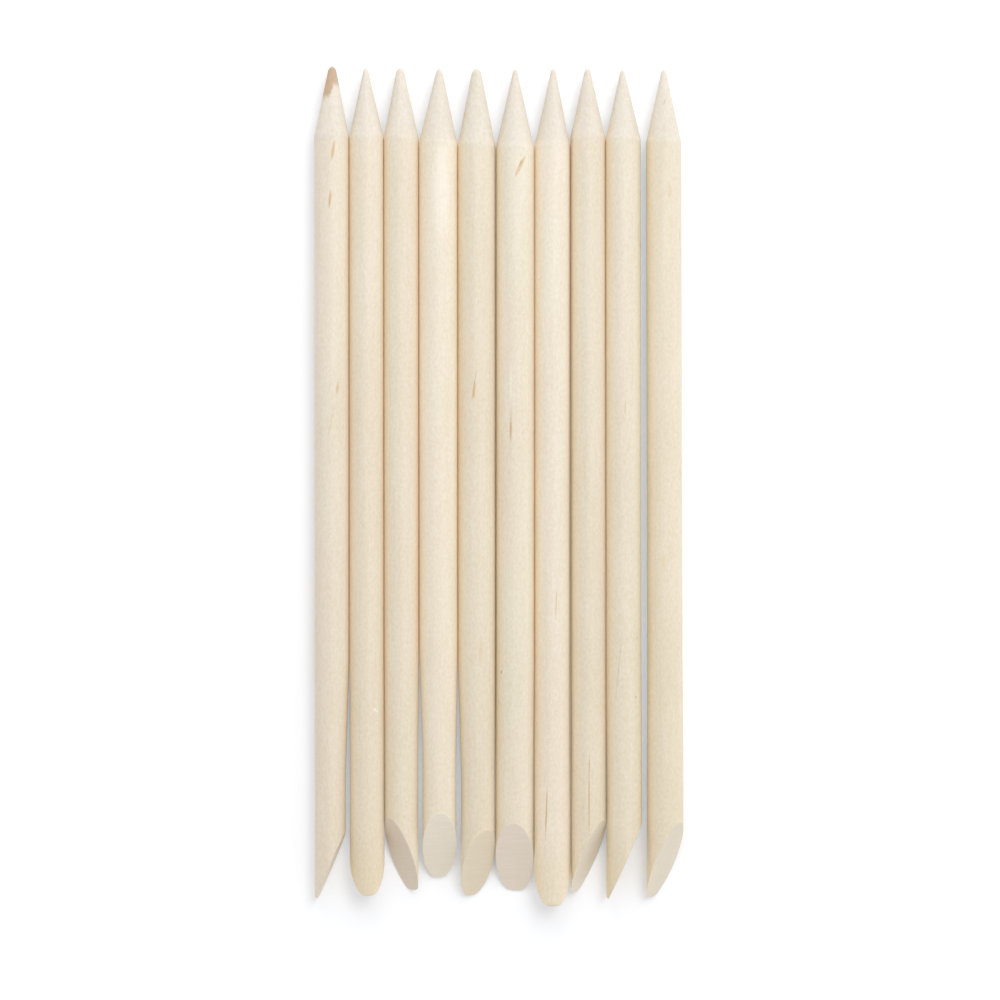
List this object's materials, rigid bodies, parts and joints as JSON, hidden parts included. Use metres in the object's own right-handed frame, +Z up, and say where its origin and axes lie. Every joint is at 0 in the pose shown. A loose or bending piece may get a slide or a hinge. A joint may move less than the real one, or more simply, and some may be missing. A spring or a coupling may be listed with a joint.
{
  "type": "cuticle pusher",
  "caption": "Wooden cuticle sticks lying side by side, each a round dowel with a sharpened point at one end and a slanted chisel face at the other.",
  "frame": {"origin": "on the surface that the sticks lie on, under the middle of the row's length and width", "axes": "+Y along the sticks, towards their sharpened points; +X across the row, towards the stick that lies a little apart; +Z up from the surface"},
  "size_m": [0.0514, 0.1165, 0.0053],
  "materials": {
    "birch": "unvarnished, finely sanded pale birch"
  },
  "bodies": {
    "stick_01": {"stick_01": "birch"},
    "stick_02": {"stick_02": "birch"},
    "stick_03": {"stick_03": "birch"},
    "stick_04": {"stick_04": "birch"},
    "stick_05": {"stick_05": "birch"},
    "stick_06": {"stick_06": "birch"},
    "stick_07": {"stick_07": "birch"},
    "stick_08": {"stick_08": "birch"},
    "stick_09": {"stick_09": "birch"},
    "stick_10": {"stick_10": "birch"}
  },
  "joints": [
    {"name": "lift_stick_01", "type": "slide", "parent": "stick_06", "child": "stick_01", "axis": [0, 0, 1], "range_m": [0, 0.015]},
    {"name": "lift_stick_02", "type": "slide", "parent": "stick_06", "child": "stick_02", "axis": [0, 0, 1], "range_m": [0, 0.015]},
    {"name": "lift_stick_03", "type": "slide", "parent": "stick_06", "child": "stick_03", "axis": [0, 0, 1], "range_m": [0, 0.015]},
    {"name": "lift_stick_04", "type": "slide", "parent": "stick_06", "child": "stick_04", "axis": [0, 0, 1], "range_m": [0, 0.015]},
    {"name": "lift_stick_05", "type": "slide", "parent": "stick_06", "child": "stick_05", "axis": [0, 0, 1], "range_m": [0, 0.015]},
    {"name": "lift_stick_07", "type": "slide", "parent": "stick_06", "child": "stick_07", "axis": [0, 0, 1], "range_m": [0, 0.015]},
    {"name": "lift_stick_08", "type": "slide", "parent": "stick_06", "child": "stick_08", "axis": [0, 0, 1], "range_m": [0, 0.015]},
    {"name": "lift_stick_09", "type": "slide", "parent": "stick_06", "child": "stick_09", "axis": [0, 0, 1], "range_m": [0, 0.015]},
    {"name": "lift_stick_10", "type": "slide", "parent": "stick_06", "child": "stick_10", "axis": [0, 0, 1], "range_m": [0, 0.015]}
  ]
}
